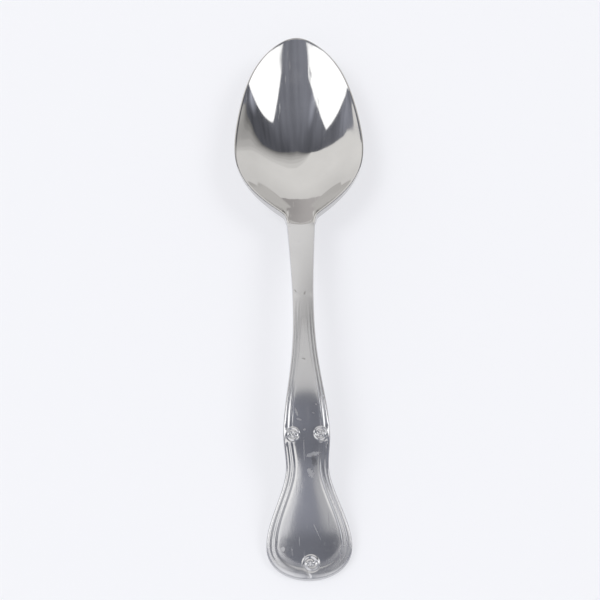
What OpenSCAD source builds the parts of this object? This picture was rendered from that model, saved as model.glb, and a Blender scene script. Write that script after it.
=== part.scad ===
// Teaspoon with an egg-shaped bowl, a crescent shoulder and a thread-and-scroll handle.
// Millimetres. X is across, +Y points to the tip of the bowl, +Z is up, Z = 0 is the table.

/* [Overall] */
// Length from the tip of the bowl to the end of the handle
spoon_l = 150; // [145:1:156]

/* [Bowl] */
// Length of the bowl from its tip to the shoulder
bowl_l = 57; // [54:0.5:60]
// Width of the bowl across its rim
bowl_w = 33.6; // [30:0.2:37]
// Depth of the hollow below the rim
bowl_depth = 7.4; // [6:0.1:9]
// Thickness of the metal at the bottom of the bowl
bowl_wall = 1.2; // [0.9:0.1:1.8]
// Width of the rounded edge on top of the rim
rim_w = 0.55; // [0.4:0.05:0.8]
// Height of the rim's outer edge
rim_t = 1; // [0.8:0.05:1.4]
// Rise of the rim from the deepest part to the shoulder
heel_lift = 1.1; // [0.6:0.1:2]
// Fall of the rim from the deepest part to the tip
tip_drop = 0.7; // [0:0.1:1.5]

/* [Shoulder] */
// Width of the lip between the hollow and the shoulder
heel_land = 0.6; // [0.4:0.05:1]
// Thickness of the bowl where it meets the shank
heel_t = 2.7; // [2.3:0.1:3.2]
// Height of the step from the bowl up to the shank
shoulder_h = 0.6; // [0.5:0.05:1]
// Bulge of the crescent towards the handle
shoulder_bulge = 0.9; // [0.6:0.1:1.4]

/* [Shank] */
// Width of the shank at the shoulder
neck_w = 7.3; // [6.6:0.1:8]
// Width of the shank at its narrowest
shank_w = 5.3; // [4.8:0.1:6]
// Thickness of the shank at the top of the arch
shank_t = 2.9; // [2.5:0.1:3.4]
// Height of the arch above the table
arch_h = 13.8; // [12.5:0.1:16]
// Distance from the shoulder to the top of the arch
arch_run = 34; // [28:1:38]
// Fall of the top from the middle to the edges
crown_h = 0.3; // [0.15:0.05:0.4]
// Crown of the top at the widest place of the end
end_crown_h = 0.65; // [0.4:0.05:0.8]

/* [Handle end] */
// Width of the handle across the two scrolls
scroll_w = 11.6; // [10.8:0.1:12.4]
// Width of the waist below the scrolls
waist_w = 10.5; // [9.8:0.1:11.2]
// Width of the end at its widest
end_w = 21.2; // [19:0.2:23]
// Thickness of the end
end_t = 2.2; // [1.8:0.1:2.6]
// Distance from the end to its widest place
end_round = 8; // [7:0.2:9]
// Distance from the end to the waist
waist_run = 26.7; // [25.3:0.1:27.3]
// Distance from the end to the middle of the scrolls
scroll_run = 34.2; // [33.4:0.1:35]

/* [Thread border] */
// Width of the border round the end
border_w = 3.1; // [2.8:0.1:3.3]
// Width of the border where it runs along the shank
border_shank_w = 1.9; // [1.7:0.1:2.1]
// Height of the threads above the grooves, halved
thread_h = 0.08; // [0.06:0.01:0.12]
// Height of the rolled band round the end, and of its scroll
band_h = 0.26; // [0.18:0.02:0.34]
// Distance from the end to the point where the threads begin
thread_run = 71; // [68:0.5:74]

/* [Scrolls] */
// Diameter of the two side scrolls
scroll_d = 3.8; // [3.4:0.1:4]
// Spacing of the turns in the side scrolls
scroll_pitch = 0.85; // [0.7:0.05:1]
// Diameter of the scroll at the end
end_scroll_d = 4.1; // [3.7:0.1:4.4]
// Spacing of the turns in the end scroll
end_scroll_pitch = 1.4; // [1.2:0.05:1.6]
// Height of the scrolls' ridges
scroll_h = 0.13; // [0.1:0.01:0.18]

/* [Hidden] */

// Places along the spoon
tip_y = spoon_l / 2;
end_y = -spoon_l / 2;
heel_y = tip_y - bowl_l;
deep_y = heel_y + 0.44 * bowl_l;
arch_y = heel_y - arch_run;
thread_y = end_y + thread_run;
scroll_y = end_y + scroll_run;
waist_y = end_y + waist_run;
wide_y = end_y + end_round;
foot_y = end_y + 0.3 * end_round;

// Heights and half widths
rim_h = bowl_depth + bowl_wall;
rest_cut = bowl_wall / 12;
lip_round = rim_t / 16;
under_h = heel_t / 14;
neck_half = neck_w / 2;
end_slope = 0.05;
// Bend of the tail: above 1 it stays high for longer and falls near the end
tail_power = 1.45;
edge_round = 0.14 * end_t;
edge_drop = 0.08 * shank_t;
edge_run = 0.25 * shank_t;
foot_cut = end_t / 12;
lip_share = 0.14;
thread_start = 1.7 * border_w;
thread_fade = 6 * border_w;
side_reach = 0.75 * border_w;
scroll_x = (scroll_w - scroll_d) / 2 - 0.16 * border_w;
end_scroll_x = 0.08 * end_scroll_d;
end_scroll_y = end_y + end_scroll_d / 2 + 0.55 * border_w;
cap_reach = end_scroll_y + 0.6 * end_scroll_d - end_y;
parting_w = 0.17 * border_w;
neck_top = rim_h + heel_lift + shoulder_h;
neck_full_t = heel_t + shoulder_h;

// Egg outline: half width at the angle t from the tip, as shares of cosine powers
rim_egg_shares = [1, -0.22, 0.06, 0.48, -0.56];
// Width of the rim at the tip, where the rim elsewhere is 1
tip_rim_share = 0.6;
// Fullness of the hollow's section, where 1 is a plain parabola
fullness_share = 1.2;

// Counts of cells in the surfaces
core_n = 24;
ring_n = 4 * core_n;
egg_n = 42;
fillet_n = 2;
arc_n = 4;
border_n = 12;
side_n = 16;
panel_n = 6;
cap_n = 34;
scroll_rows = 12;
scroll_rings = 12;
end_scroll_rings = 9;

// Places across a plain section, from the left edge to the right
across_shares = [-1, -0.86, -0.58, -0.29, 0, 0.29, 0.58, 0.86, 1];
// Heights down the outer edge, from the lip to the bottom corner
wall_shares = [0, 0.2, 0.8, 1];
// Places across the land on top of the rim
land_shares = [0, 0.25, 0.75, 1];
// Roundness of the core, where 0 is a square and 1 is a circle
core_round_share = 0.75;
// Rings of the hollow and of the underside: the core's side, then the rings outside it
ring_shares = [0.78, 0.9, 0.95, 0.985];
// Rows of the plain shank and of the threads, from the bowl to the end
plain_shares = [0, 0.015, 0.045, 0.1, 0.18, 0.28, 0.38, 0.48, 0.58, 0.68, 0.78, 0.88, 0.96];
thread_shares = [0, 0.03, 0.06, 0.1, 0.15, 0.22, 0.3, 0.38, 0.46, 0.54, 0.62, 0.7, 0.78, 0.86, 0.94];
fiddle_n = 14;

// Section of the border from the edge inwards: place and height
border_shares = [
    [0, -0.6], [0.05, -0.1], [0.12, 0.4], [0.22, 0.6], [0.32, 0.35], [0.39, -0.7], [0.46, -1],
    [0.54, -0.4], [0.61, 0.7], [0.69, 0.95], [0.77, 0.45], [0.86, -0.7], [1, 0]
];

// The same at the round end, where the outer groove fills up into a broad band
band_shares = [
    [0, -0.6], [0.05, -0.1], [0.12, 0.3], [0.22, 0.6], [0.32, 0.85], [0.39, 0.95], [0.46, 1],
    [0.54, 0.95], [0.61, 0.85], [0.69, 0.65], [0.77, 0.4], [0.86, 0], [1, -0.1]
];

function flat(lists) = [for (a = lists) each a];
function mix(a, b, u) = a + (b - a) * u;
function clip(u) = max(0, min(1, u));
function ease(u) = let (c = clip(u)) c * c * (3 - 2 * c);
function power_sum(shares, c) = shares * [for (k = [0:len(shares) - 1]) pow(c, k)];
function egg_peak(shares) = max([for (t = [60:0.5:120]) sin(t) * power_sum(shares, cos(t))]);

// Height of the rim along the spoon
function rim_z(y) =
    y > deep_y
        ? rim_h - tip_drop * pow((y - deep_y) / (tip_y - deep_y), 2)
        : rim_h + heel_lift * pow((deep_y - y) / (deep_y - heel_y), 2);

// Outer outline of the bowl: egg, small fillet at the neck, crescent arc
rim_peak = egg_peak(rim_egg_shares);
function egg_pt(t) = [
    bowl_w / 2 * sin(t) * power_sum(rim_egg_shares, cos(t)) / rim_peak,
    (tip_y + heel_y) / 2 + bowl_l / 2 * cos(t)
];
fillet_w = neck_half + 0.55 * shoulder_bulge;
fillet_t = max([for (t = [120:0.1:179]) if (egg_pt(t)[0] >= fillet_w) t]);
corner_y = heel_y + shoulder_bulge;
function arc_y(x) = heel_y + shoulder_bulge * pow(x / neck_half, 2);
function fillet_pt(u) =
    let (a = egg_pt(fillet_t), c = [neck_half, corner_y], b = [neck_half, mix(a[1], c[1], 0.5)])
    mix(mix(a, b, u), mix(b, c, u), u);
function half_outline(k) =
    k <= egg_n
        ? egg_pt(fillet_t * ring_angle(k) / ring_angle(egg_n))
        : k <= egg_n + fillet_n
            ? fillet_pt((k - egg_n) / fillet_n)
            : let (x = -neck_half * across_shares[k - egg_n - fillet_n]) [x, arc_y(x)];
// Count round the outline from the tip, the same on both sides
function fold(k) = k > ring_n / 2 ? ring_n - k : k;
function mirror_x(p, on) = on ? [-p[0], p[1]] : p;
function outline_pt(k) = mirror_x(half_outline(fold(k)), k > ring_n / 2);

// Height of the edge below the lip, thick at the neck and thin round the rest of the bowl
thick_y = mix(heel_y, deep_y, 0.72);
function edge_t(p) =
    mix(rim_t, heel_t, ease((thick_y - p[1]) / (thick_y - corner_y - 0.5 * shoulder_bulge)))
    - (p[1] <= corner_y + 0.01 * rim_w ? under_h * pow(p[0] / neck_half, 2) : under_h * neck_mask(p));
function neck_mask(p) = ease((thick_y - p[1]) / (thick_y - corner_y)) * clip(2 - abs(p[0]) / neck_half);

// Places in the core of a surface, as a radius and an angle from the tip
function disc_pt(i, j) =
    let (u = 2 * i / core_n - 1, v = 2 * j / core_n - 1)
    let (x = u * sqrt(1 - core_round_share * v * v / 2), y = v * sqrt(1 - core_round_share * u * u / 2))
    [norm([x, y]), x == 0 && y == 0 ? 0 : atan2(x, y)];
function core_cell(k) =
    let (h = core_n / 2)
    k <= h ? [h + k, core_n]
    : k <= 3 * h ? [core_n, core_n - (k - h)]
    : k <= 5 * h ? [core_n - (k - 3 * h), 0]
    : k <= 7 * h ? [0, k - 5 * h]
    : [k - 7 * h, core_n];
function ring_angle(k) = let (c = core_cell(k)) let (a = disc_pt(c[0], c[1])[1]) a < 0 ? a + 360 : a;

// Point inside an egg at the share r from the deepest place, in the direction t
function section(r) = r * r * mix(r * r, 1, fullness_share);
function egg_flat(r, t, half, tip, heel) =
    let (swell = mix(1, power_sum(rim_egg_shares, cos(t)) / rim_peak, pow(r, 4)))
    [r * half * sin(t) * swell, deep_y + r * r * ((tip + heel) / 2 - deep_y) + r * (tip - heel) / 2 * cos(t)];
// Share by which the rings leave the egg for the true edge
function pull(r) = ease((r - core_r) / (1 - core_r));

// Point of the underside, which follows the outer outline at its edge and is flat where it rests
function outer_angle(k) =
    let (h = fold(k), t = h <= egg_n
        ? fillet_t * ring_angle(h) / ring_angle(egg_n)
        : mix(fillet_t, 180, (h - egg_n) / (fillet_n + arc_n)))
    k > ring_n / 2 ? 360 - t : t;
function shell_flat(r, t) = egg_flat(r, t, bowl_w / 2, tip_y, heel_y);
function shell_z(y, r, edge) =
    max(0, rim_z(y) - mix(rim_h + rest_cut, edge, section(r)));
function shell_ring_pt(r, k) =
    let (t = outer_angle(k), e = outline_pt(k))
    let (p = shell_flat(r, t) + pull(r) * (e - shell_flat(1, t)))
    [p[0], p[1], shell_z(p[1], r, edge_t(e))];
function shell_core_pt(r, t) =
    let (p = shell_flat(r, t), e = egg_pt(t > 180 ? 360 - t : t))
    [p[0], p[1], shell_z(p[1], r, edge_t([abs(e[0]), max(e[1], corner_y + 0.5 * shoulder_bulge)]))];
// The core takes its direction from the ring outside it
function shell_dir(a) = let (h = abs(a)) sign(a) * (h <= ring_angle(egg_n)
    ? fillet_t * h / ring_angle(egg_n)
    : mix(fillet_t, 180, (h - ring_angle(egg_n)) / (180 - ring_angle(egg_n))));

// Edge of the hollow: the outline drawn in by the rim, and by the lip at the shoulder
function rim_at(y) = rim_w * mix(1, tip_rim_share, pow(clip((y - deep_y) / (tip_y - deep_y)), 2));
function hollow_edge(k) =
    let (e = outline_pt(k), run = outline_pt((k + 1) % ring_n) - outline_pt((k + ring_n - 1) % ring_n))
    fold(k) >= egg_n + fillet_n
        ? [e[0] * (neck_half - rim_w) / neck_half, e[1] + heel_land]
        : e + rim_at(e[1]) * [run[1], -run[0]] / norm(run);
function lip_drop(k) = lip_round + 0.6 * heel_land * clip((fold(k) - egg_n) / fillet_n);
function hollow_flat(r, t) = egg_flat(r, t, bowl_w / 2 - rim_w, tip_y - rim_at(tip_y), heel_y + heel_land);
function hollow_pt(r, p, drop) = [p[0], p[1], rim_z(p[1]) - bowl_depth * (1 - section(r)) - drop];
function hollow_ring_pt(r, k) =
    let (t = outer_angle(k), p = hollow_flat(r, t) + pull(r) * (hollow_edge(k) - hollow_flat(1, t)))
    hollow_pt(r, p, pull(r) * lip_drop(k));

// Bowl
function land_pt(k, u) =
    let (p = mix(hollow_edge(k), outline_pt(k), u), fall = (1 - u) * (lip_drop(k) - lip_round))
    [p[0], p[1], rim_z(p[1]) - fall - (u == 0 || u == 1 ? lip_round : 0)];
function wall_pt(k, u) = let (e = outline_pt(k)) [e[0], e[1], rim_z(e[1]) - mix(lip_round, edge_t(e), u)];

grid_w = core_n + 1;
function grid_id(i, j) = j * grid_w + i;
function core_id(k) = let (c = core_cell(k % ring_n)) grid_id(c[0], c[1]);

core_r = ring_shares[0];
hollow_core = [for (j = [0:core_n], i = [0:core_n])
    let (d = disc_pt(i, j), r = core_r * d[0]) hollow_pt(r, hollow_flat(r, shell_dir(d[1])), 0)];
shell_core = [for (j = [0:core_n], i = [0:core_n])
    let (d = disc_pt(i, j)) shell_core_pt(core_r * d[0], shell_dir(d[1]))];
rings_in = len(ring_shares) - 1;
bowl_rings = concat(
    [for (s = [1:rings_in]) [for (k = [0:ring_n - 1]) hollow_ring_pt(ring_shares[s], k)]],
    [for (u = land_shares) [for (k = [0:ring_n - 1]) land_pt(k, u)]],
    [for (s = [1:len(wall_shares) - 1]) [for (k = [0:ring_n - 1]) wall_pt(k, wall_shares[s])]],
    [for (s = [rings_in:-1:1]) [for (k = [0:ring_n - 1]) shell_ring_pt(ring_shares[s], k)]]
);
core_size = grid_w * grid_w;
function ring_id(s, k) = 2 * core_size + s * ring_n + (k % ring_n);

// Two triangles for a cell, cut along its longer diagonal
function cell(points, a, b, c, d) =
    norm(points[a] - points[c]) > norm(points[b] - points[d]) ? [[a, b, c], [a, c, d]] : [[b, c, d], [b, d, a]];
function turned(faces) = [for (f = faces) [f[0], f[2], f[1]]];

bowl_points = concat(hollow_core, shell_core, flat(bowl_rings));
function core_faces(at) = flat([for (j = [0:core_n - 1], i = [0:core_n - 1])
    let (a = at + grid_id(i, j), b = at + grid_id(i + 1, j))
    cell(bowl_points, a, a + grid_w, b + grid_w, b)]);
function bowl_faces() =
    let (rings = len(bowl_rings))
    concat(
        core_faces(0),
        turned(core_faces(core_size)),
        flat([for (k = [0:ring_n - 1])
            cell(bowl_points, core_id(k), ring_id(0, k), ring_id(0, k + 1), core_id(k + 1))]),
        flat([for (s = [0:rings - 2], k = [0:ring_n - 1])
            cell(bowl_points, ring_id(s, k), ring_id(s + 1, k), ring_id(s + 1, k + 1), ring_id(s, k + 1))]),
        flat([for (k = [0:ring_n - 1])
            cell(bowl_points, ring_id(rings - 1, k), core_size + core_id(k), core_size + core_id(k + 1),
                ring_id(rings - 1, k + 1))])
    );

module bowl() {
    color("silver")
        polyhedron(points = bowl_points, faces = bowl_faces());
}

// Half width of the handle
function swell_to(u, a, b, skew) = mix(a, b, ease(pow(clip(u), skew)));
function half_w(y) =
    y >= thread_y
        ? mix(shank_w, neck_w, pow((y - thread_y) / (corner_y - thread_y), 1.4)) / 2
        : y >= scroll_y
            ? swell_to((thread_y - y) / (thread_y - scroll_y), shank_w, scroll_w, 1.5) / 2
            : y >= waist_y
                ? swell_to((scroll_y - y) / (scroll_y - waist_y), scroll_w, waist_w, 1) / 2
                : swell_to((waist_y - y) / (waist_y - wide_y), waist_w, end_w, 0.93) / 2;

// Side view of the handle: height of the top and thickness
function neck_part(y) = (y - arch_y) / (heel_y - arch_y);
function tail_part(y) = min(1, (arch_y - y) / (arch_y - foot_y));
function tail_top(u) =
    mix(arch_h, end_t, ease(pow(u, tail_power))) + end_slope * (arch_y - foot_y) * u * u * (1 - u);
function top_z(y) =
    y >= arch_y ? mix(arch_h, neck_top, pow(neck_part(y), 1.7)) : tail_top(tail_part(y));
function thick(y) =
    y >= arch_y ? mix(shank_t, neck_full_t, neck_part(y)) : mix(shank_t, end_t, ease(tail_part(y)));

// Share of the way from the middle to the edge
function edge_share(x, y) =
    y < wide_y ? norm([2 * x / end_w, (wide_y - y) / end_round]) : abs(x) / half_w(y);
function crown_at(y) = mix(crown_h, end_crown_h, ease((thread_y - y) / (thread_y - wide_y)));
function crown_z(x, y) = top_z(y) - crown_at(y) * pow(edge_share(x, y), 2);
function low_z(x, y) = max(0, top_z(y) - thick(y) - foot_cut + edge_round * pow(edge_share(x, y), 4));

// Distance from the edge, and the share of the way round the end
function edge_gap(x, y) =
    y >= wide_y
        ? half_w(y) - abs(x)
        : let (e = edge_share(x, y))
            (1 - e) * e / norm([x * pow(2 / end_w, 2), (wide_y - y) / pow(end_round, 2)]);
function round_share(x, y) =
    y >= wide_y ? 0
    : ease((wide_y - y) / end_round / edge_share(x, y)) * mix(1, 0.7, ease(x / end_scroll_d));

// Border: width, strength and the columns across it
function plain_border_w(y) =
    mix(border_shank_w, border_w, ease((mix(thread_y, scroll_y, 0.4) - y)
        / (mix(thread_y, scroll_y, 0.4) - wide_y)));
function border_at(y) = mix(0.85 * half_w(y), plain_border_w(y), ease((thread_y - y) / thread_start));
function strength(y) =
    mix(ease((thread_y - y) / thread_start), ease((thread_y - y) / thread_fade), 0.7);
function reach_share(y) = mix(0.35, 0.72, ease((thread_y - y) / (thread_y - scroll_y - scroll_d)));
function reach_at(y) =
    let (b = border_at(y)) b + min(side_reach, reach_share(y) * (half_w(y) - b));
function inset(t, b, reach) =
    t <= border_n ? b * border_shares[t][0] : mix(b, reach, (t - border_n) / (side_n - border_n));

// Scrolls: a ridge that winds inwards, as a height and the share of it that counts
side_circle = scroll_d / 2 + scroll_pitch / 6;
end_circle = end_scroll_d / 2 + end_scroll_pitch / 6;
function wind(p, d, pitch, turn, start, h) =
    let (r = norm(p), a = r == 0 ? 0 : atan2(p[1], p[0]))
    let (wave = cos(360 * r / pitch + turn * (a - start)))
    [h * mix(1, mix(0.3, 1, (1 + wave) / 2) * 2 - 1, ease(2.5 * r / pitch)),
        1 - ease((r - d / 2 + pitch / 6) * 3 / pitch)];
function side_scroll(x, y) =
    wind([abs(x) - scroll_x, y - scroll_y], scroll_d, scroll_pitch, 1, 60, scroll_h);
function end_scroll(x, y) =
    wind([x - end_scroll_x, y - end_scroll_y], end_scroll_d, end_scroll_pitch, -1, -60, band_h);

// Groove that parts the two ends of the border, from the end scroll out to the edge
function parting(x, y) =
    let (p = [x - end_scroll_x, y - end_scroll_y], r = norm(p) / end_scroll_d)
    let (off = norm(p) * sin(atan2(p[1], p[0]) - mix(-118, -97, ease(2.5 * r - 1.1))))
    p[1] > 0 ? 0 : -0.8 * band_h * (1 - ease(abs(off) / parting_w)) * ease(8 * r - 3);

// Height of the relief at a place, with the rounding of the edge
function rounding(d) = -edge_drop * pow(1 - clip(d / edge_run), 2);
function relief(x, y) =
    let (d = edge_gap(x, y), share = d / border_at(y))
    let (thread = thread_h * lookup(share, border_shares), band = band_h * lookup(share, band_shares))
    let (plain = strength(y) * mix(thread, band, round_share(x, y)) + (y < wide_y ? parting(x, y) : 0))
    let (s = y < wide_y ? end_scroll(x, y) : side_scroll(x, y))
    mix(plain, s[0], s[1]) + rounding(d);
function top_pt(x, y) = [x, y, crown_z(x, y) + relief(x, y)];

// Rows of the plain shank
plain_n = len(plain_shares);
function straighten(r) = ease(r / 5);
function plain_xy(r, s) =
    let (y = mix(heel_y, thread_y, plain_shares[r]), bend = shoulder_bulge * (1 - straighten(r)))
    [half_w(y + bend) * s, y + bend * s * s];
function seam_pt(j, u) = wall_pt(ring_n / 2 + arc_n - j, u);
plain_top = [for (r = [0:plain_n - 1]) [for (s = across_shares)
    let (p = plain_xy(r, s), d = (1 - abs(s)) * shank_w / 2)
    [p[0], p[1], crown_z(p[0], min(p[1], heel_y)) + rounding(d)]]];

// Rows with threads and scrolls, down to the widest place of the end
scroll_top_y = scroll_y + 1.06 * side_circle;
scroll_low_y = scroll_y - 1.06 * side_circle;
deco_ys = concat(
    [for (s = thread_shares) mix(thread_y, scroll_top_y, s)],
    [for (k = [0:scroll_rows]) mix(scroll_top_y, scroll_low_y, k / scroll_rows)],
    [for (k = [1:fiddle_n]) mix(scroll_low_y, wide_y, k / fiddle_n)]
);
deco_n = len(deco_ys);
deco_w = 2 * side_n + panel_n + 1;
function deco_row(y) =
    let (h = half_w(y), b = border_at(y), reach = reach_at(y), inner = h - reach)
    [for (c = [0:deco_w - 1])
        let (t = min(c, deco_w - 1 - c), side = c < deco_w / 2 ? -1 : 1)
        let (x = t <= side_n ? side * (h - inset(t, b, reach)) : mix(-inner, inner, (c - side_n) / panel_n))
        top_pt(x, y)];
deco_top = [for (y = deco_ys) deco_row(y)];

// Round end, in stations from the left side to the right
function cap_angle(m) = let (v = 2 * m / cap_n - 1) 90 + 90 * (0.24 * v + 0.76 * v * v * v);
function cap_xy(a, d) =
    let (e = [-end_w / 2 * cos(a), wide_y - end_round * sin(a)])
    let (n = [-cos(a) * 2 / end_w, -sin(a) / end_round])
    e - d * n / norm(n);
function cap_inset(t, a) = inset(t, border_w, mix(reach_at(wide_y), cap_reach, sin(a)));
cap_top = [for (m = [1:cap_n - 1]) [for (t = [0:side_n])
    let (a = cap_angle(m), p = cap_xy(a, cap_inset(t, a))) top_pt(p[0], p[1])]];
moon_n = 16;
function moon_xy(i, d_side, d_end) =
    let (left = cap_xy(0, d_side), right = cap_xy(180, d_side))
    mix(mix(left, right, i / moon_n), cap_xy(180 * i / moon_n, d_end), 0.5);
moon_top = [for (i = [1:moon_n - 1])
    let (p = moon_xy(i, cap_inset(side_n, 0), cap_inset(side_n, 180 * i / moon_n)))
    top_pt(p[0], p[1])];

// Holes in the grids, filled with round patches for the scrolls
margin_n = 2;
scroll_from_n = 8;
hole_row = len(thread_shares);
left_hole = [hole_row, hole_row + scroll_rows, margin_n, side_n];
right_hole = [hole_row, hole_row + scroll_rows, deco_w - 1 - side_n, deco_w - 1 - margin_n];
end_hole = [scroll_from_n, cap_n - scroll_from_n, margin_n, side_n];
function in_hole(h, a, b) = a >= h[0] && a < h[1] && b >= h[2] && b < h[3];
function chain(h) = concat(
    [for (b = [h[2]:h[3] - 1]) [h[0], b]],
    [for (a = [h[0]:h[1] - 1]) [a, h[3]]],
    [for (b = [h[3]:-1:h[2] + 1]) [h[1], b]],
    [for (a = [h[1]:-1:h[0] + 1]) [a, h[2]]]
);

// Rings of a patch, from the hole inwards: shares above 1 lie outside the scroll's circle
side_ring_shares = [for (k = [scroll_rings:-1:1]) k / scroll_rings];
end_ring_shares = concat([1.7, 1.35], [for (k = [end_scroll_rings:-1:1]) k / end_scroll_rings]);
function patch(edge, c, reach, shares) = concat(
    [for (s = shares, p = edge)
        let (v = [p[0], p[1]] - c, r = s <= 1 ? s * reach : mix(reach, norm(v), s - 1))
        let (q = c + r * v / norm(v))
        top_pt(q[0], q[1])],
    [top_pt(c[0], c[1])]
);
patches = [
    patch([for (q = chain(left_hole)) deco_top[q[0]][q[1]]], [-scroll_x, scroll_y],
        side_circle, side_ring_shares),
    patch([for (q = chain(right_hole)) deco_top[q[0]][q[1]]], [scroll_x, scroll_y],
        side_circle, side_ring_shares),
    patch([for (q = chain(end_hole)) cap_top[q[0] - 1][q[1]]], [end_scroll_x, end_scroll_y],
        end_circle, end_ring_shares)
];

// Underside rows, with the round end
function under_z(x, y, r) = mix(seam_pt(arc_n, 1)[2] + under_h * pow(edge_share(x, y), 2), low_z(x, y),
    straighten(r));
under_rows = concat(
    [[for (j = [0:2 * arc_n]) seam_pt(j, 1)]],
    [for (r = [1:plain_n - 1]) [for (s = across_shares)
        let (p = plain_xy(r, s)) [p[0], p[1], under_z(p[0], min(p[1], heel_y), r)]]],
    [for (y = deco_ys) [for (s = across_shares) [half_w(y) * s, y, low_z(half_w(y) * s, y)]]]
);
under_inset = (1 - across_shares[len(across_shares) - 2]) * end_w / 2;
function under_at(p) = [p[0], p[1], low_z(p[0], p[1])];
cap_under = [for (m = [1:cap_n - 1]) [for (d = [0, under_inset]) under_at(cap_xy(cap_angle(m), d))]];
moon_under = [for (i = [1:moon_n - 1]) under_at(moon_xy(i, under_inset, under_inset))];

// Stations round the edge: down the left side, round the end, up the right side
rows_n = plain_n + deco_n;
edge_n = 2 * rows_n + cap_n - 1;
function top_row(r) = r < plain_n ? plain_top[r] : deco_top[r - plain_n];
function edge_pair(q) =
    q < rows_n
        ? [top_row(q)[0], under_rows[q][0]]
        : q < rows_n + cap_n - 1
            ? [cap_top[q - rows_n][0], cap_under[q - rows_n][0]]
            : let (r = edge_n - 1 - q) [top_row(r)[len(top_row(r)) - 1], under_rows[r][2 * arc_n]];
function lip_pt(q) =
    q == 0 ? seam_pt(0, 0) : q == edge_n - 1 ? seam_pt(2 * arc_n, 0)
    : let (e = edge_pair(q)) [e[0][0], e[0][1], mix(e[0][2], e[1][2], lip_share)];
edge_strip = [for (q = [0:edge_n - 1])
    let (a = lip_pt(q), b = edge_pair(q)[1])
    [a, mix(a, b, wall_shares[1]), mix(a, b, wall_shares[2])]];

// Front face of the shank, which meets the bowl along the crescent
front = [for (s = [0:len(wall_shares) - 2]) [for (j = [1:2 * arc_n - 1]) seam_pt(j, wall_shares[s])]];

// Numbers of the points in one list
at_plain = 0;
at_deco = at_plain + plain_n * len(across_shares);
at_cap = at_deco + deco_n * deco_w;
at_moon = at_cap + (cap_n - 1) * (side_n + 1);
at_under = at_moon + moon_n - 1;
at_cap_under = at_under + rows_n * len(across_shares);
at_moon_under = at_cap_under + (cap_n - 1) * 2;
at_edge = at_moon_under + moon_n - 1;
at_front = at_edge + edge_n * 3;
at_patches = at_front + (len(wall_shares) - 1) * (2 * arc_n - 1);
function patch_at(i) = i == 0 ? at_patches : patch_at(i - 1) + len(patches[i - 1]);
function plain_id(r, c) = at_plain + r * len(across_shares) + c;
function deco_id(r, c) = at_deco + r * deco_w + c;
function cap_id(m, t) =
    m == 0 ? deco_id(deco_n - 1, t)
    : m == cap_n ? deco_id(deco_n - 1, deco_w - 1 - t)
    : at_cap + (m - 1) * (side_n + 1) + t;
function under_id(r, c) = at_under + r * len(across_shares) + c;
function cap_under_id(m, t) =
    m == 0 ? under_id(rows_n - 1, t)
    : m == cap_n ? under_id(rows_n - 1, 2 * arc_n - t)
    : at_cap_under + (m - 1) * 2 + t;
function edge_top_id(q) =
    q < rows_n
        ? (q < plain_n ? plain_id(q, 0) : deco_id(q - plain_n, 0))
        : q < rows_n + cap_n - 1
            ? cap_id(q - rows_n + 1, 0)
            : let (r = edge_n - 1 - q) r < plain_n ? plain_id(r, 2 * arc_n) : deco_id(r - plain_n, deco_w - 1);
function edge_low_id(q) =
    q < rows_n ? under_id(q, 0)
    : q < rows_n + cap_n - 1 ? cap_under_id(q - rows_n + 1, 0)
    : under_id(edge_n - 1 - q, 2 * arc_n);
function edge_id(q, l) =
    l == 0 ? edge_top_id(q) : l == 4 ? edge_low_id(q) : at_edge + q * 3 + l - 1;
function front_id(l, j) =
    l == 0 ? plain_id(0, j)
    : l == 4 ? under_id(0, j)
    : j == 0 ? edge_id(0, l)
    : j == 2 * arc_n ? edge_id(edge_n - 1, l)
    : at_front + (l - 1) * (2 * arc_n - 1) + j - 1;

// Triangles between two chains of points, which may differ in count
function stitch(a, b, i = 0, j = 0) =
    let (na = len(a) - 1, nb = len(b) - 1)
    i == na && j == nb
        ? []
        : j == nb || (i < na && (i + 1) * nb <= (j + 1) * na)
            ? concat([[a[i], b[j], a[i + 1]]], stitch(a, b, i + 1, j))
            : concat([[a[i], b[j], b[j + 1]]], stitch(a, b, i, j + 1));
function whole(faces) = [for (f = faces) if (f[0] != f[1] && f[1] != f[2] && f[0] != f[2]) f];
function moon_chain(at, first, last) = concat([first], [for (i = [0:moon_n - 2]) at + i], [last]);

handle_points = concat(
    flat(plain_top), flat(deco_top), flat(cap_top), moon_top,
    flat(under_rows), flat(cap_under), moon_under, flat(edge_strip), flat(front), flat(patches)
);
function grid_cell(a, b, c, d) = cell(handle_points, a, b, c, d);

// Faces of a patch between its hole's chain of numbers and its middle
function patch_id(ids, at, s, k) =
    let (n = len(ids)) s == 0 ? ids[k % n] : at + (s - 1) * n + k % n;
function patch_faces(i, ids) =
    let (n = len(ids), at = patch_at(i), rings = (len(patches[i]) - 1) / n)
    concat(
        flat([for (s = [0:rings - 1], k = [0:n - 1])
            grid_cell(patch_id(ids, at, s, k), patch_id(ids, at, s, k + 1),
                patch_id(ids, at, s + 1, k + 1), patch_id(ids, at, s + 1, k))]),
        [for (k = [0:n - 1]) [patch_id(ids, at, rings, k), patch_id(ids, at, rings, k + 1), at + rings * n]]
    );

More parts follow.
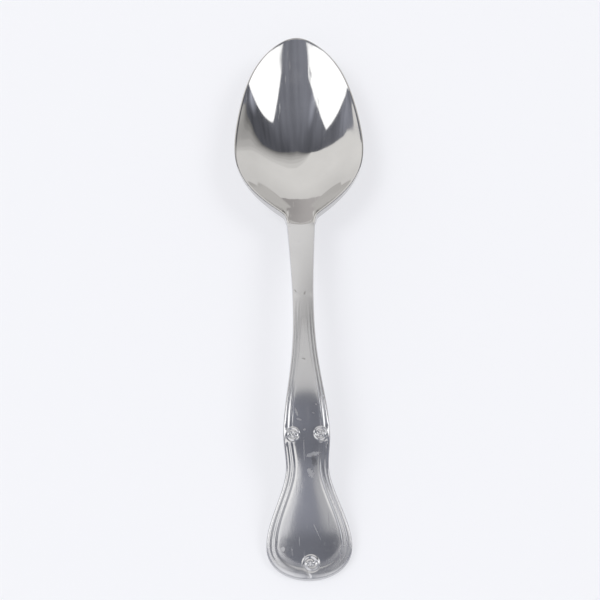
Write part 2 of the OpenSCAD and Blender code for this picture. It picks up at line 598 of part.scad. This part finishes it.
function handle_faces() =
    let (last = deco_n - 1, low = rows_n - 1, mid = 2 * arc_n)
    let (top_moon = moon_chain(at_moon, cap_id(0, side_n), cap_id(cap_n, side_n)))
    let (low_moon = moon_chain(at_moon_under, cap_under_id(0, 1), cap_under_id(cap_n, 1)))
    concat(
        flat([for (r = [0:plain_n - 2], c = [0:mid - 1])
            grid_cell(plain_id(r, c), plain_id(r, c + 1), plain_id(r + 1, c + 1), plain_id(r + 1, c))]),
        turned(stitch([for (c = [0:mid]) plain_id(plain_n - 1, c)], [for (c = [0:deco_w - 1]) deco_id(0, c)])),
        flat([for (r = [0:deco_n - 2], c = [0:deco_w - 2])
            if (!in_hole(left_hole, r, c) && !in_hole(right_hole, r, c))
                grid_cell(deco_id(r, c), deco_id(r, c + 1), deco_id(r + 1, c + 1), deco_id(r + 1, c))]),
        flat([for (m = [0:cap_n - 1], t = [0:side_n - 1])
            if (!in_hole(end_hole, m, t))
                grid_cell(cap_id(m, t), cap_id(m, t + 1), cap_id(m + 1, t + 1), cap_id(m + 1, t))]),
        patch_faces(0, [for (q = chain(left_hole)) deco_id(q[0], q[1])]),
        patch_faces(1, [for (q = chain(right_hole)) deco_id(q[0], q[1])]),
        patch_faces(2, [for (q = chain(end_hole)) cap_id(q[0], q[1])]),
        whole(turned(stitch([for (c = [side_n:side_n + panel_n]) deco_id(last, c)], top_moon))),
        whole(turned(stitch(top_moon, [for (m = [0:cap_n]) cap_id(m, side_n)]))),
        flat([for (r = [0:rows_n - 2], c = [0:mid - 1])
            grid_cell(under_id(r, c), under_id(r + 1, c), under_id(r + 1, c + 1), under_id(r, c + 1))]),
        flat([for (m = [0:cap_n - 1])
            grid_cell(cap_under_id(m, 0), cap_under_id(m + 1, 0), cap_under_id(m + 1, 1), cap_under_id(m, 1))]),
        whole(stitch([for (c = [1:mid - 1]) under_id(low, c)], low_moon)),
        whole(stitch(low_moon, [for (m = [0:cap_n]) cap_under_id(m, 1)])),
        flat([for (q = [0:edge_n - 2], l = [0:3])
            grid_cell(edge_id(q, l), edge_id(q + 1, l), edge_id(q + 1, l + 1), edge_id(q, l + 1))]),
        flat([for (l = [0:3], j = [0:mid - 1])
            grid_cell(front_id(l, j), front_id(l + 1, j), front_id(l + 1, j + 1), front_id(l, j + 1))])
    );

module handle() {
    color("gainsboro")
        polyhedron(points = handle_points, faces = handle_faces());
}

bowl();
handle();
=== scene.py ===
"""Teaspoon of polished and satin stainless steel, lying on a white light table."""

import math
from collections import Counter

import bpy
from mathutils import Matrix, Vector


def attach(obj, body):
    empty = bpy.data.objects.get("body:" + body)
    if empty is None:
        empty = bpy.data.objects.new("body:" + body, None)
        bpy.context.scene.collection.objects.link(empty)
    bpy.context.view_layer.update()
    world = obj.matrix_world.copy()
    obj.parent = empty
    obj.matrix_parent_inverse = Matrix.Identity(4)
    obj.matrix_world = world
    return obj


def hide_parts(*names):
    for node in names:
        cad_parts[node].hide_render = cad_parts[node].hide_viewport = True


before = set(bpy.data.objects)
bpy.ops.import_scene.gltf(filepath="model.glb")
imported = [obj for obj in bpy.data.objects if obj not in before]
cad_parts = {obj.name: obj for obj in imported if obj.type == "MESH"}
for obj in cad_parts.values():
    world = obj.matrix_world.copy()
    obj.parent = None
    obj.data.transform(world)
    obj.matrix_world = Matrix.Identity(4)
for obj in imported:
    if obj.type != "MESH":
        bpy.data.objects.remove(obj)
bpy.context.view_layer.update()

# Camera: distance, angle above the table, turn about the vertical and the point that it looks at
CAMERA_DISTANCE = 0.7
CAMERA_ELEVATION = math.radians(64)
CAMERA_TURN = math.radians(1.39)
CAMERA_TARGET = Vector((0, 0, 0.006))
# The photograph's side, lens and the place of the target in it, in pixels
PHOTO_SIDE = 600
PHOTO_LENS_PX = 2753.7
PHOTO_TARGET_PX = (302.7, 294.6)
SENSOR_MM = 36

# How close two corners of a skin lie when they are one, and how far the skin is smoothed
SAME_PLACE = 1e-7
PLACES_PER_METRE = 1e7
SMOOTH_LEVELS = 2

# Table: its side, its colour and how brightly it glows of itself, near the spoon and far from it
TABLE_SIDE = 4
TABLE_COLOR = (0.34, 0.347, 0.36)
TABLE_ROUGHNESS = 0.9
TABLE_SHEEN = 0.1
TABLE_GLOW_COLOR = (0.945, 0.942, 0.97)
TABLE_GLOW = (0.585, 0.92)
GLOW_REACH = (0.12, 0.6)

# Places on the spoon from which the cards' directions are counted
BOWL_Y = 0.047
HANDLE_Y = -0.055

# Softboxes on the ceiling, as shares of its height: x to the right and y towards the tip
CEILING = 1.2
SOFTBOX_LIGHT = 1.75
RIGHT_SOFTBOX = (
    (0.6, -0.03), (0.47, -0.0145), (0.39, -0.0145), (0.38, -0.01), (0.44, 0.016), (0.5, 0.061),
    (0.62, 0.163), (0.83, 0.352), (0.94, 0.388), (1.24, 0.453), (1.61, 0.502), (2.1, 0.555),
    (2.41, 0.595), (4, 0.72), (4, -0.05),
)
LEFT_SOFTBOX = (
    (-0.6, -0.03), (-4, -0.05), (-4, 0.85), (-2.58, 0.714), (-1.86, 0.618), (-1.25, 0.542), (-0.98, 0.499),
    (-0.62, 0.203), (-0.39, 0.047), (-0.28, -0.004), (-0.34, -0.0145), (-0.46, -0.0145),
)
# Softer panels low in front, which the handle's end sees
PANEL_COLOR = (0.98, 0.98, 1)
PANEL_HEIGHT = 0.3
RIGHT_PANEL_LIGHT = 0.66
RIGHT_PANEL = ((0.12, -0.25), (0.11, -0.55), (0.45, -0.55), (0.45, -0.19), (0.3, -0.22))
LEFT_PANEL_LIGHT = 1
LEFT_PANEL = ((-0.12, -0.23), (-0.11, -0.55), (-1.2, -0.55), (-1.2, -0.05), (-0.28, -0.165))
# Panels on the ceiling in front
RIGHT_FRONT_LIGHT = 0.95
RIGHT_FRONT = ((0.15, -0.5), (0.5, -3.3), (3.3, -3.3), (1.5, -0.5))
LEFT_FRONT_LIGHT = 1.15
LEFT_FRONT = ((-0.1, -0.5), (-1.5, -0.5), (-3.3, -3.3), (-0.4, -3.3))
# Small reflectors low over the handle: name, light, height, and corners in metres
REFLECTOR_COLOR = (1, 0.99, 0.98)
REFLECTORS = (
    ("shank reflector", 0.8, 0.14, (
        (-0.07, 0), (0.09, 0), (0.09, 0.042), (0.03, 0.058), (-0.02, 0.058), (-0.07, 0.045),
    )),
    ("left end reflector", 1.25, 0.05, (
        (-0.045, -0.071), (-0.012, -0.071), (-0.012, -0.05), (-0.045, -0.05),
    )),
    ("right end reflector", 1.15, 0.05, (
        (0.015, -0.0705), (0.05, -0.0705), (0.05, -0.061), (0.015, -0.061),
    )),
)

# Pale wall behind the tip, as shares of its distance: x to the right and height
WALL = 1.15
WALL_LIGHT = 0.98
WALL_COLOR = (1, 0.985, 0.965)
PALE_WALL = (
    (-3, 0), (-3, 0.86), (-2.2, 0.85), (-1.86, 0.86), (-1.6, 1.06), (-1.3, 1.36), (-0.75, 1.72),
    (0.13, 2.03), (0.8, 1.72), (1.4, 1.2), (1.62, 1), (1.97, 0.95), (2.42, 0.96), (3, 1), (3, 0),
    (0.5, 0), (0.45, 0.05), (0.35, 0.17), (0.2, 0.26), (0.08, 0.3), (-0.1, 0.29), (-0.28, 0.23), (-0.4, 0.12),
    (-0.47, 0),
)
# How its light fades: from one share of the distance to another, and the light at both
WALL_FADE_ACROSS = (0.2, 2.6, 1, 0.8)
WALL_FADE_UP = (0.1, 0.6, 0.88, 1)
# Its blurred top right of the middle: shares of the height and of the light, from back to front
WALL_TOPS = ((1, 0.3), (0.93, 0.46), (0.86, 0.61), (0.77, 0.75), (0.67, 0.87), (0.57, 1))
WALL_TOP_START = 0.6
WALL_STEP = 0.004
# Darker low wall that shows through its opening
LOW_WALL = ((-0.8, 0), (-0.8, 0.45), (0.8, 0.45), (0.8, 0))
LOW_WALL_DISTANCE = 1.02 * WALL
LOW_LIGHT = 0.55
LOW_COLOR = (1, 0.96, 0.95)
LOW_FADE_ACROSS = (-0.3, 0.3, 1.1, 0.85)

# Dim bluish room above the lights: height, half its side, and its light over the handle and behind
ROOM_HEIGHT = 2.6
ROOM_HALF = 16
ROOM_COLOR = (0.92, 0.95, 1.1)
ROOM_FRONT_LIGHT = 0.35
ROOM_HANDLE_LIGHT = 0.22
ROOM_BOWL_LIGHT = 0.29
ROOM_BACK_LIGHT = 0.12
ROOM_LEFT_LIGHT = 0.06
ROOM_SIDE_LIGHT = 0.15
# Where each of these changes into the next, in metres
FRONT_TO_HANDLE = (-0.9, -0.5)
HANDLE_TO_BOWL = (-0.3, 0)
BOWL_TO_BACK = (0, 1.8)
LEFT_TO_MIDDLE = (-3.2, -0.8)
MIDDLE_TO_SIDES = (5.8, 9.4)
# Glows beside the softboxes: place, turn, length, width and light
ROOM_GLOWS = (
    (5.5, 1.6, -1.2, 1.7, 0.6, 0.5), (-6, 2.2, 0, 2.2, 2.2, 0.2), (-1.1, 0.36, -0.7, 0.6, 0.3, 0.3),
)
# Its mottle: how fine it is, how it is stretched, and the least and the most of its light
MOTTLE_SCALE = 1.8
MOTTLE_STRETCH = (1, 0.35, 1)
MOTTLE = (0.84, 1.16)
WORLD_LIGHT = 0.2
WORLD_COLOR = (0.97, 0.99, 1.06)

# Lamps for the table's shadows: where each stands, its strength and the angle that it fills
LAMPS = (((-0.62, 0.1, 1), 0.9, math.radians(27)), ((0.84, 0.1, 1), 0.72, math.radians(27)))


def select_only(piece):
    bpy.ops.object.select_all(action="DESELECT")
    piece.select_set(True)
    bpy.context.view_layer.objects.active = piece


def edit(piece, *steps):
    """Runs edit-mode operators on all of a piece's mesh."""
    select_only(piece)
    bpy.ops.object.mode_set(mode="EDIT")
    bpy.ops.mesh.select_all(action="SELECT")
    for step in steps:
        step()
    bpy.ops.object.mode_set(mode="OBJECT")


def select_parts(piece, mode, numbers):
    """Selects some vertices, edges or faces of a piece by their numbers, and nothing else."""
    select_only(piece)
    bpy.ops.object.mode_set(mode="EDIT")
    bpy.ops.mesh.select_mode(type=mode)
    bpy.ops.mesh.select_all(action="DESELECT")
    bpy.ops.object.mode_set(mode="OBJECT")
    parts = {"VERT": piece.data.vertices, "EDGE": piece.data.edges, "FACE": piece.data.polygons}[mode]
    for number in numbers:
        parts[number].select = True


def copy_of_solid(node, material):
    """A copy of a CAD node, with its loose triangles merged into one skin."""
    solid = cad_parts[node]
    copy = bpy.data.objects.new(node + "_copy", solid.data.copy())
    bpy.context.scene.collection.objects.link(copy)
    copy.data.materials.clear()
    copy.data.materials.append(material)
    select_only(copy)
    bpy.ops.mesh.customdata_custom_splitnormals_clear()
    edit(copy, lambda: bpy.ops.mesh.remove_doubles(threshold=SAME_PLACE))
    return copy


def place_key(vertex):
    return tuple(round(c * PLACES_PER_METRE) for c in vertex.co)


def open_seam(piece, touching):
    """Deletes the faces on which a piece touches the other one."""
    shared = {v.index for v in piece.data.vertices if place_key(v) in touching}
    faces = [f.index for f in piece.data.polygons if all(v in shared for v in f.vertices)]
    select_parts(piece, "FACE", faces)
    bpy.ops.object.mode_set(mode="EDIT")
    bpy.ops.mesh.delete(type="FACE")
    bpy.ops.object.mode_set(mode="OBJECT")


def pair_triangles(piece):
    """Joins two triangles wherever the edge between them is the longest edge of both."""
    mesh = piece.data
    points = [v.co for v in mesh.vertices]
    length = {e.key: (points[e.key[0]] - points[e.key[1]]).length for e in mesh.edges}
    longest = Counter(max(face.edge_keys, key=length.get) for face in mesh.polygons)
    select_parts(piece, "EDGE", [e.index for e in mesh.edges if longest[e.key] == 2])
    bpy.ops.object.mode_set(mode="EDIT")
    bpy.ops.mesh.dissolve_edges(use_verts=False)
    bpy.ops.object.mode_set(mode="OBJECT")
    edit(piece, lambda: bpy.ops.mesh.tris_convert_to_quads(
        face_threshold=math.pi, shape_threshold=math.pi, topology_influence=1.5
    ))


class Nodes:
    """A material's nodes, added one by one and linked as they are made."""

    def __init__(self, name, glows=False):
        self.material = bpy.data.materials.new(name)
        self.material.use_nodes = True
        self.tree = self.material.node_tree
        self.shader = self.tree.nodes["Principled BSDF"]
        if glows:
            self.tree.nodes.remove(self.shader)
            self.shader = self.tree.nodes.new("ShaderNodeEmission")
            output = self.tree.nodes["Material Output"]
            self.tree.links.new(self.shader.outputs[0], output.inputs["Surface"])
        self.place = self.add("ShaderNodeTexCoord").outputs["Object"]

    def add(self, kind, links=None, **settings):
        node = self.tree.nodes.new(kind)
        for key, value in settings.items():
            setattr(node, key, value)
        for socket, value in (links or {}).items():
            if isinstance(value, bpy.types.NodeSocket):
                self.tree.links.new(value, node.inputs[socket])
            else:
                node.inputs[socket].default_value = value
        return node

    def axis(self, name):
        return self.add("ShaderNodeSeparateXYZ", {0: self.place}).outputs[name]

    def noise(self, scale, stretch=(1, 1, 1), turn=0, detail=2, shift=(0, 0, 0)):
        mapped = self.add("ShaderNodeMapping", {
            0: self.place, "Scale": stretch, "Rotation": (0, 0, turn), "Location": shift,
        })
        return self.add("ShaderNodeTexNoise", {
            "Vector": mapped.outputs[0], "Scale": scale, "Detail": detail,
        }).outputs["Fac"]

    def span(self, value, low, high, to_low, to_high):
        """Maps a value from one span to another, held at the ends."""
        return self.add("ShaderNodeMapRange", {
            0: value, 1: low, 2: high, 3: to_low, 4: to_high,
        }, interpolation_type="SMOOTHSTEP").outputs[0]

    def math(self, operation, a, b=0):
        return self.add("ShaderNodeMath", {0: a, 1: b}, operation=operation).outputs[0]

    def within(self, x, y, turn=0, length=1, width=1):
        """How far out of an upright ellipse each point lies, as a share of the ellipse's size."""
        mapped = self.add("ShaderNodeMapping", {
            0: self.place, "Location": (x, y, 0), "Rotation": (0, 0, turn), "Scale": (width, length, 10),
        }, vector_type="TEXTURE")
        return self.add("ShaderNodeVectorMath", {0: mapped.outputs[0]}, operation="LENGTH").outputs["Value"]

    def most(self, values):
        """The largest of several values."""
        largest = values[0]
        for value in values[1:]:
            largest = self.math("MAXIMUM", largest, value)
        return largest

    def link(self, value, socket):
        self.tree.links.new(value, self.shader.inputs[socket])


# Steel: how fine each of its patterns is, and where along each noise its marks begin and end
NOISE_SPAN = (0.3, 0.7)
CLOUD_SCALE = 90
CLOUD_SHADE_SPAN = (0.35, 0.7)
CLOUD_ROUGH_SPAN = (0.45, 0.72)
SPECK_SCALE = 900
SPECK_SPAN = (0.68, 0.76)
GRAIN_SCALE = 2600
GRAIN_STRETCH = (1, 0.02, 1)
SCRATCH_SCALE = 1500
SCRATCH_STRETCH = (1, 0.012, 0.3)
SCRATCH_TURNS = (0.3, 1.25, 2.2)
SCRATCH_SPAN = (0.735, 0.775)
SCRATCH_ROUGHNESS = 0.12
SCRATCH_DEPTH = 0.5
DARK_SHADE = 0.97
LIGHT_SHADE = 1.02
BUMP_STRENGTH = 0.12
BUMP_DISTANCE = 0.00004
# Ragged edges of the marks, and how strong the marks are
RAGGED_SCALE = 2200
RAGGED = 0.3
MARK_EDGE = (0.6, 1.2)
STAIN_COLOR = (0.2, 0.19, 0.18)
STAIN_SHARE = 0.4
SCUFF_ROUGHNESS = 0.22
# Marks on the handle: place, turn, half length and half width
STAINS = (
    (-0.00184, -0.00228, 0.5, 0.00055, 0.00016), (0.00043, -0.00304, -0.4, 0.0006, 0.0003),
    (-0.00032, -0.02144, 1.3, 0.0005, 0.00025), (0.0017, -0.04714, 0.2, 0.0012, 0.0007),
)
SCUFFS = (
    (0.00249, -0.03351, 1, 0.00035, 0.00012), (0.00177, -0.03566, 1.2, 0.0003, 0.00012),
    (-0.00239, -0.03539, 0.3, 0.0012, 0.00025), (-0.0018, -0.0372, 1.2, 0.0007, 0.0002),
    (-0.00052, -0.03978, 0, 0.0003, 0.0003), (-0.00075, -0.0449, 0, 0.003, 0.00009),
    (0.0014, -0.0457, 1.75, 0.0018, 0.0005), (0.00073, -0.04996, 0.5, 0.0012, 0.0007),
    (-0.00151, -0.05326, 0, 0.001, 0.00007), (0.00196, -0.0636, 0.43, 0.0022, 0.0001),
    (0.00638, -0.06294, 1.2, 0.0004, 0.00012), (-0.00645, -0.06743, 0, 0.0006, 0.0005),
)
# Worn end of the handle: middle and radius of the panel inside its band, and the band's start
WORN_MIDDLE = -0.0625
WORN_RADIUS = (0.0084, 0.0092)
WORN_START = (-0.062, -0.068)
WORN_ROUGHNESS = 0.14
# Rougher shank: where the roughness begins and where it is whole
SHANK_SPAN = (-0.04, -0.02)
SHANK_ROUGHNESS = 0.08


def handle_wear(nodes):
    """Roughness that the handle has on its shank and on its worn end band."""
    along = nodes.axis("Y")
    outside_panel = nodes.span(nodes.within(0, WORN_MIDDLE), *WORN_RADIUS, 0, WORN_ROUGHNESS)
    band = nodes.math("MULTIPLY", outside_panel, nodes.span(along, *WORN_START, 0, 1))
    return nodes.math("ADD", band, nodes.span(along, *SHANK_SPAN, 0, SHANK_ROUGHNESS))


def steel(name, color, roughness, smudge, grain, wear=None, stains=(), scuffs=()):
    """Bare steel with smudges, fine grain along the spoon, a few hair scratches, stains and scuffs."""
    nodes = Nodes(name)
    nodes.shader.inputs["Metallic"].default_value = 1
    cloud = nodes.noise(CLOUD_SCALE, detail=3)
    speck = nodes.noise(SPECK_SCALE, detail=1, shift=(0.3, 0.1, 0))
    lines = nodes.noise(GRAIN_SCALE, stretch=GRAIN_STRETCH, detail=2)
    streaks = [
        nodes.noise(SCRATCH_SCALE, stretch=SCRATCH_STRETCH, turn=turn, detail=1, shift=(number, 0, 0))
        for number, turn in enumerate(SCRATCH_TURNS)
    ]
    scratches = nodes.most([nodes.span(streak, *SCRATCH_SPAN, 0, 1) for streak in streaks])
    color_now = nodes.add("ShaderNodeMix", {
        0: nodes.span(cloud, *CLOUD_SHADE_SPAN, 0, 1),
        "A": (*(c * DARK_SHADE for c in color), 1),
        "B": (*(min(1, c * LIGHT_SHADE) for c in color), 1),
    }, data_type="RGBA").outputs["Result"]
    rough = nodes.span(cloud, *CLOUD_ROUGH_SPAN, roughness, roughness + smudge)
    rough = nodes.math("ADD", rough, nodes.span(speck, *SPECK_SPAN, 0, smudge))
    rough = nodes.math("ADD", rough, nodes.math("MULTIPLY", scratches, SCRATCH_ROUGHNESS))
    ragged = nodes.noise(RAGGED_SCALE, detail=3, shift=(0, 0.7, 0))
    ragged = nodes.span(ragged, *NOISE_SPAN, -RAGGED, RAGGED)
    marks = {}
    for kind, places in (("stains", stains), ("scuffs", scuffs)):
        if places:
            distances = [nodes.math("ADD", nodes.within(*place), ragged) for place in places]
            marks[kind] = nodes.most([nodes.span(distance, *MARK_EDGE, 1, 0) for distance in distances])
    if stains:
        color_now = nodes.add("ShaderNodeMix", {
            0: nodes.math("MULTIPLY", marks["stains"], STAIN_SHARE), "A": color_now, "B": (*STAIN_COLOR, 1),
        }, data_type="RGBA").outputs["Result"]
    if scuffs:
        rough = nodes.math("ADD", rough, nodes.math("MULTIPLY", marks["scuffs"], SCUFF_ROUGHNESS))
    if wear:
        rough = nodes.math("ADD", rough, wear(nodes))
    nodes.link(color_now, "Base Color")
    nodes.link(rough, "Roughness")
    grain_height = nodes.math("MULTIPLY", lines, grain)
    height = nodes.math("SUBTRACT", grain_height, nodes.math("MULTIPLY", scratches, SCRATCH_DEPTH))
    bump = nodes.add("ShaderNodeBump", {
        "Strength": BUMP_STRENGTH, "Distance": BUMP_DISTANCE, "Height": height,
    })
    nodes.link(bump.outputs[0], "Normal")
    return nodes.material


polished = steel(
    "polished steel", color=(0.645, 0.64, 0.635), roughness=0.05, smudge=0.05, grain=0.15,
)
satin = steel(
    "satin steel", color=(0.63, 0.63, 0.64), roughness=0.13, smudge=0.05, grain=0.6,
    wear=handle_wear, stains=STAINS, scuffs=SCUFFS,
)


# Spoon: both solids as one smooth skin, then parted again at the shoulder
bowl = copy_of_solid("bowl", polished)
handle = copy_of_solid("handle", satin)
bowl_places = {place_key(v) for v in bowl.data.vertices}
handle_places = {place_key(v) for v in handle.data.vertices}
open_seam(bowl, handle_places)
open_seam(handle, bowl_places)

select_only(bowl)
handle.select_set(True)
bpy.ops.object.join()
edit(bowl, lambda: bpy.ops.mesh.remove_doubles(threshold=SAME_PLACE))
pair_triangles(bowl)
smooth = bowl.modifiers.new("smooth", "SUBSURF")
smooth.levels = smooth.render_levels = SMOOTH_LEVELS
bpy.ops.object.modifier_apply(modifier=smooth.name)
edit(bowl, lambda: bpy.ops.mesh.separate(type="MATERIAL"))
handle = next(o for o in bpy.context.selected_objects if o is not bowl)
if bowl.data.materials[bowl.data.polygons[0].material_index] is not polished:
    bowl, handle = handle, bowl

for piece, node, name, slot in (
    (bowl, "bowl", "polished_bowl", "polished_steel"),
    (handle, "handle", "satin_handle", "satin_steel"),
):
    piece.name = name
    select_only(piece)
    bpy.ops.object.shade_smooth()
    select_parts(piece, "VERT", [])
    bpy.ops.object.mode_set(mode="EDIT")
    bpy.ops.mesh.select_non_manifold()
    bpy.ops.mesh.mark_sharp()
    bpy.ops.mesh.fill()
    bpy.ops.object.mode_set(mode="OBJECT")
    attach(piece, "root")
    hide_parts(node)


# Table
bpy.ops.mesh.primitive_plane_add(size=TABLE_SIDE)
table = bpy.context.object
table.name = "table"
surface = Nodes("white light table")
surface.shader.inputs["Base Color"].default_value = (*TABLE_COLOR, 1)
surface.shader.inputs["Roughness"].default_value = TABLE_ROUGHNESS
surface.shader.inputs["Specular IOR Level"].default_value = TABLE_SHEEN
surface.shader.inputs["Emission Color"].default_value = (*TABLE_GLOW_COLOR, 1)
reach = surface.add("ShaderNodeVectorMath", {0: surface.place}, operation="LENGTH").outputs["Value"]
surface.link(surface.span(reach, *GLOW_REACH, *TABLE_GLOW), "Emission Strength")
table.data.materials.append(surface.material)


# Light
def light_card(name, corners, color, strength, *fades, lights_table=True):
    """A glowing card that the camera doesn't see, its light fading along an axis where that is asked."""
    mesh = bpy.data.meshes.new(name)
    mesh.from_pydata(corners, [], [range(len(corners))])
    card = bpy.data.objects.new(name, mesh)
    bpy.context.scene.collection.objects.link(card)
    glow = Nodes(name, glows=True)
    glow.shader.inputs["Color"].default_value = (*color, 1)
    glow.shader.inputs["Strength"].default_value = strength
    for axis, *spans in fades:
        strength = glow.math("MULTIPLY", glow.span(glow.axis(axis), *spans), strength)
    if fades:
        glow.link(strength, "Strength")
    mesh.materials.append(glow.material)
    card.visible_camera = False
    card.visible_shadow = False
    card.visible_diffuse = lights_table
    return glow


def on_ceiling(shares, centre, height=CEILING):
    return [(height * x, centre + height * y, height) for x, y in shares]


def on_wall(shares, distance, top=1):
    """Corners on the wall, with its top right of the middle lowered to a share of its height."""
    return [
        (distance * x, BOWL_Y + distance, distance * z * (top if x > 0 and z > WALL_TOP_START else 1))
        for x, z in shares
    ]


def wall_fade(axis, start, end, *lights):
    return (axis, start * WALL, end * WALL, *lights)


light_card("right softbox", on_ceiling(RIGHT_SOFTBOX, BOWL_Y), (1, 1, 1), SOFTBOX_LIGHT)
light_card("left softbox", on_ceiling(LEFT_SOFTBOX, BOWL_Y), (1, 1, 1), SOFTBOX_LIGHT)
for name, shares, height, strength in (
    ("right panel", RIGHT_PANEL, PANEL_HEIGHT, RIGHT_PANEL_LIGHT),
    ("left panel", LEFT_PANEL, PANEL_HEIGHT, LEFT_PANEL_LIGHT),
    ("right front", RIGHT_FRONT, CEILING, RIGHT_FRONT_LIGHT),
    ("left front", LEFT_FRONT, CEILING, LEFT_FRONT_LIGHT),
):
    light_card(
        name, on_ceiling(shares, HANDLE_Y, height), PANEL_COLOR, strength, lights_table=height == CEILING,
    )
for name, strength, height, corners in REFLECTORS:
    light_card(name, [(x, y, height) for x, y in corners], REFLECTOR_COLOR, strength, lights_table=False)
for number, (top, share) in enumerate(WALL_TOPS):
    distance = WALL * (1 - WALL_STEP * number)
    light_card(
        "pale wall %d" % (number + 1), on_wall(PALE_WALL, distance, top), WALL_COLOR, WALL_LIGHT * share,
        wall_fade("X", *WALL_FADE_ACROSS), wall_fade("Z", *WALL_FADE_UP),
    )
light_card(
    "low wall", on_wall(LOW_WALL, LOW_WALL_DISTANCE), LOW_COLOR, LOW_LIGHT, wall_fade("X", *LOW_FADE_ACROSS),
)
room = light_card(
    "room", [(x * ROOM_HALF, y * ROOM_HALF, ROOM_HEIGHT) for x, y in ((-1, -1), (1, -1), (1, 1), (-1, 1))],
    ROOM_COLOR, ROOM_BACK_LIGHT,
)
across = room.axis("X")
along = room.axis("Y")
glow = room.span(along, *FRONT_TO_HANDLE, ROOM_FRONT_LIGHT, ROOM_HANDLE_LIGHT)
for value, spans, before, after in (
    (along, HANDLE_TO_BOWL, 0, ROOM_BOWL_LIGHT - ROOM_HANDLE_LIGHT),
    (along, BOWL_TO_BACK, 0, ROOM_BACK_LIGHT - ROOM_BOWL_LIGHT),
    (across, LEFT_TO_MIDDLE, ROOM_LEFT_LIGHT, 0),
    (room.math("ABSOLUTE", across), MIDDLE_TO_SIDES, 0, ROOM_SIDE_LIGHT),
):
    glow = room.math("ADD", glow, room.span(value, *spans, before, after))
for *place, light in ROOM_GLOWS:
    glow = room.math("ADD", glow, room.span(room.within(*place), 0, 1, light, 0))
mottle = room.span(room.noise(MOTTLE_SCALE, stretch=MOTTLE_STRETCH, detail=4), *NOISE_SPAN, *MOTTLE)
room.link(room.math("MULTIPLY", glow, mottle), "Strength")

for number, (place, strength, angle) in enumerate(LAMPS):
    lamp = bpy.data.lights.new("lamp %d" % (number + 1), "SUN")
    lamp.energy = strength
    lamp.angle = angle
    stand = bpy.data.objects.new(lamp.name, lamp)
    stand.rotation_euler = Vector(place).to_track_quat("Z", "Y").to_euler()
    stand.visible_glossy = False
    bpy.context.scene.collection.objects.link(stand)

world = bpy.data.worlds.new("room")
bpy.context.scene.world = world
world.use_nodes = True
world.node_tree.nodes["Background"].inputs["Color"].default_value = (*WORLD_COLOR, 1)
world.node_tree.nodes["Background"].inputs["Strength"].default_value = WORLD_LIGHT


# Camera
lens = bpy.data.cameras.new("camera")
camera = bpy.data.objects.new("camera", lens)
bpy.context.scene.collection.objects.link(camera)
away = Vector((-math.sin(CAMERA_TURN), -math.cos(CAMERA_TURN), 0)) * math.cos(CAMERA_ELEVATION)
away.z = math.sin(CAMERA_ELEVATION)
camera.location = CAMERA_TARGET + CAMERA_DISTANCE * away
camera.rotation_euler = (-away).to_track_quat("-Z", "Y").to_euler()
lens.sensor_width = SENSOR_MM
lens.lens = SENSOR_MM * PHOTO_LENS_PX / PHOTO_SIDE
lens.shift_x = (PHOTO_SIDE / 2 - PHOTO_TARGET_PX[0]) / PHOTO_SIDE
lens.shift_y = (PHOTO_TARGET_PX[1] - PHOTO_SIDE / 2) / PHOTO_SIDE
bpy.context.scene.camera = camera
bpy.context.scene.view_settings.view_transform = "Standard"
